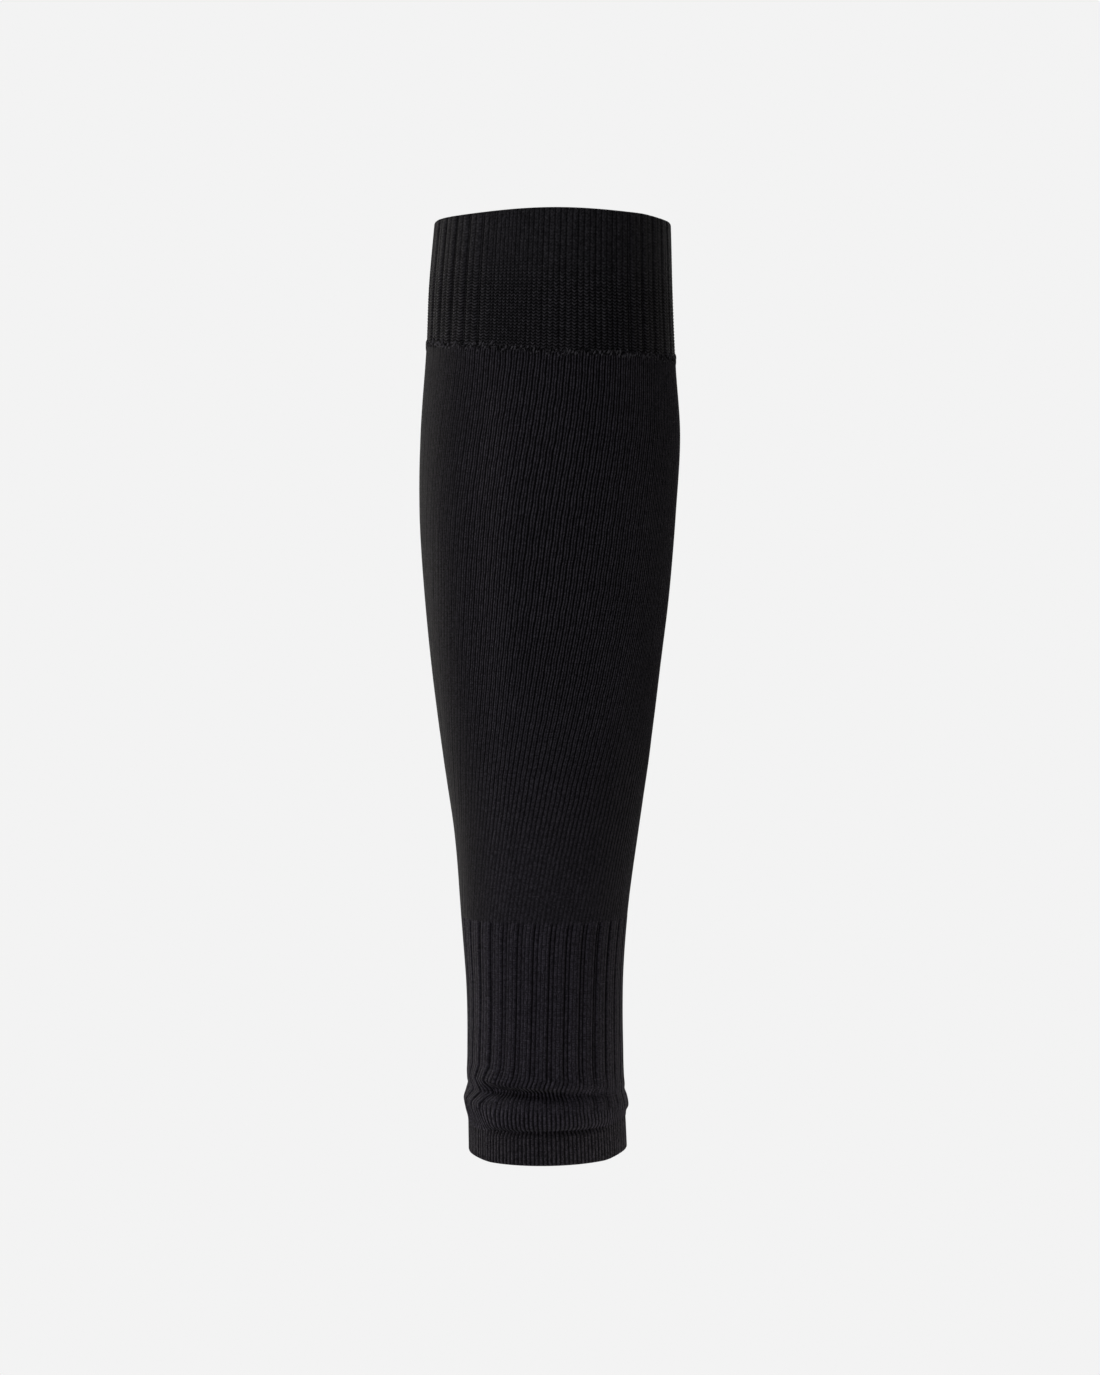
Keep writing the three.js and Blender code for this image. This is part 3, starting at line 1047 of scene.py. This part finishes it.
LINKING_NOISE = (800.0, 1.0)
LINKING_PATCHES = (0.42, 0.6)
LINKING_TONE = (0.2, 1.5)
LINKING_BUMP = (1500.0, 2.0)


def linking_material():
    cloth = Cloth("linking_yarn")
    tone = cloth.noise(*LINKING_NOISE).ramp(*LINKING_PATCHES).spread(*LINKING_TONE)
    return cloth.finish(tone, cloth.noise(*LINKING_BUMP), CUFF_YARN)


# The stage, the lights and the camera, in metres and watts. The lens is in pixels of the photograph
# and its sensor in millimetres

PALE = 0.896
FLOOR_DROP = 0.09
FLOOR_HALF = 40.0
AMBIENT = 0.146
WHITE = (1.0, 1.0, 1.0)
WARM = (1.0, 0.97, 0.89)
LIGHTS = {
    "left_rim": {"place": (-1.04, 0.78, -0.15), "size": (0.45, 1.4), "power": 5.8, "colour": WARM},
    "left_side": {"place": (-1.2, 0.45, -0.15), "size": (0.3, 1.2), "power": 4.8, "colour": WARM},
    "left_near": {"place": (-0.5, 0.7, -0.2), "size": (0.25, 0.3), "power": 1.3, "colour": WARM},
    "left_key": {"place": (-0.8, -1.0, -0.35), "size": (0.9, 1.0), "power": 7.2, "colour": WHITE},
    "top_softbox": {"place": (-0.2, -0.6, 1.2), "size": (1.0, 1.0), "power": 3.7, "colour": WHITE},
    "right_rim": {"place": (0.5, 0.25, -0.25), "size": (0.3, 0.5), "power": 0.95, "colour": WARM},
    "right_low": {"place": (0.1, -0.05, -0.42), "size": (0.08, 0.08), "power": 0.065, "colour": WARM},
    "back_softbox": {"place": (0.3, 1.4, 0.2), "size": (1.0, 1.2), "power": 6.0, "colour": WHITE},
}
CAMERA_DISTANCE = 1.35
CAMERA_RISE = 0.0349
CAMERA_TARGET = Vector((-0.0011, 0.0, -0.1847))
LENS_PIXELS = 3395.0
PHOTO_HEIGHT = 1375.0
SENSOR = 36.0


def make_floor():
    level = cad_box[0].z - FLOOR_DROP
    corners = [(x * FLOOR_HALF, y * FLOOR_HALF, level) for x, y in ((-1, -1), (1, -1), (1, 1), (-1, 1))]
    mesh = bpy.data.meshes.new("floor")
    mesh.from_pydata(corners, [], [(0, 1, 2, 3)])
    floor = add_object("floor", mesh)
    material = bpy.data.materials.new("pale_floor")
    material.use_nodes = True
    tree = material.node_tree
    glow = tree.nodes.new("ShaderNodeEmission")
    glow.inputs["Color"].default_value = (PALE, PALE, PALE, 1.0)
    tree.links.new(glow.outputs[0], tree.nodes["Material Output"].inputs["Surface"])
    mesh.materials.append(material)
    floor.visible_diffuse = False
    floor.visible_glossy = False
    floor.visible_shadow = False


def make_world():
    world = bpy.data.worlds.new("studio")
    bpy.context.scene.world = world
    world.use_nodes = True
    tree = world.node_tree
    soft = tree.nodes["Background"]
    soft.inputs["Color"].default_value = (*WHITE, 1.0)
    soft.inputs["Strength"].default_value = AMBIENT
    seen = tree.nodes.new("ShaderNodeBackground")
    seen.inputs["Color"].default_value = (PALE, PALE, PALE, 1.0)
    path = tree.nodes.new("ShaderNodeLightPath")
    mix = tree.nodes.new("ShaderNodeMixShader")
    tree.links.new(path.outputs["Is Camera Ray"], mix.inputs["Fac"])
    tree.links.new(soft.outputs[0], mix.inputs[1])
    tree.links.new(seen.outputs[0], mix.inputs[2])
    tree.links.new(mix.outputs[0], tree.nodes["World Output"].inputs["Surface"])


def make_light(name, place, size, power, colour):
    data = bpy.data.lights.new(name, "AREA")
    data.shape = "RECTANGLE"
    data.size, data.size_y = size
    data.energy = power
    data.color = colour
    lamp = add_object(name, data)
    lamp.visible_camera = False
    lamp.location = place
    middle = (cad_box[0] + cad_box[1]) / 2
    lamp.rotation_euler = (middle - lamp.location).to_track_quat("-Z", "Y").to_euler()


def make_camera():
    data = bpy.data.cameras.new("camera")
    data.sensor_width = SENSOR
    data.lens = SENSOR * LENS_PIXELS / PHOTO_HEIGHT
    camera = add_object("camera", data)
    camera.location = CAMERA_TARGET + Vector((0.0, -CAMERA_DISTANCE, CAMERA_RISE))
    camera.rotation_euler = (CAMERA_TARGET - camera.location).to_track_quat("-Z", "Y").to_euler()
    bpy.context.scene.camera = camera


def dress(piece, node, material):
    piece.data.materials.append(material)
    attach(piece, "root")
    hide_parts(node)


make_camera()
make_world()
make_floor()
for name, light in LIGHTS.items():
    make_light(name, **light)
bpy.context.scene.view_settings.view_transform = "Standard"

linking_yarn = linking_material()
cuff = make_cuff()
leg = make_leg()
ankle = make_ankle()
hem = make_hem()
dress(cuff, "top_cuff", cuff_material())
dress(leg, "leg", jersey_material())
dress(ankle, "ankle_rib", rib_material())
dress(hem, "hem_band", hem_material())
dress(make_seam_ring(), "cuff_seam", linking_yarn)
dress(make_seam_loops(), "cuff_seam", linking_yarn)
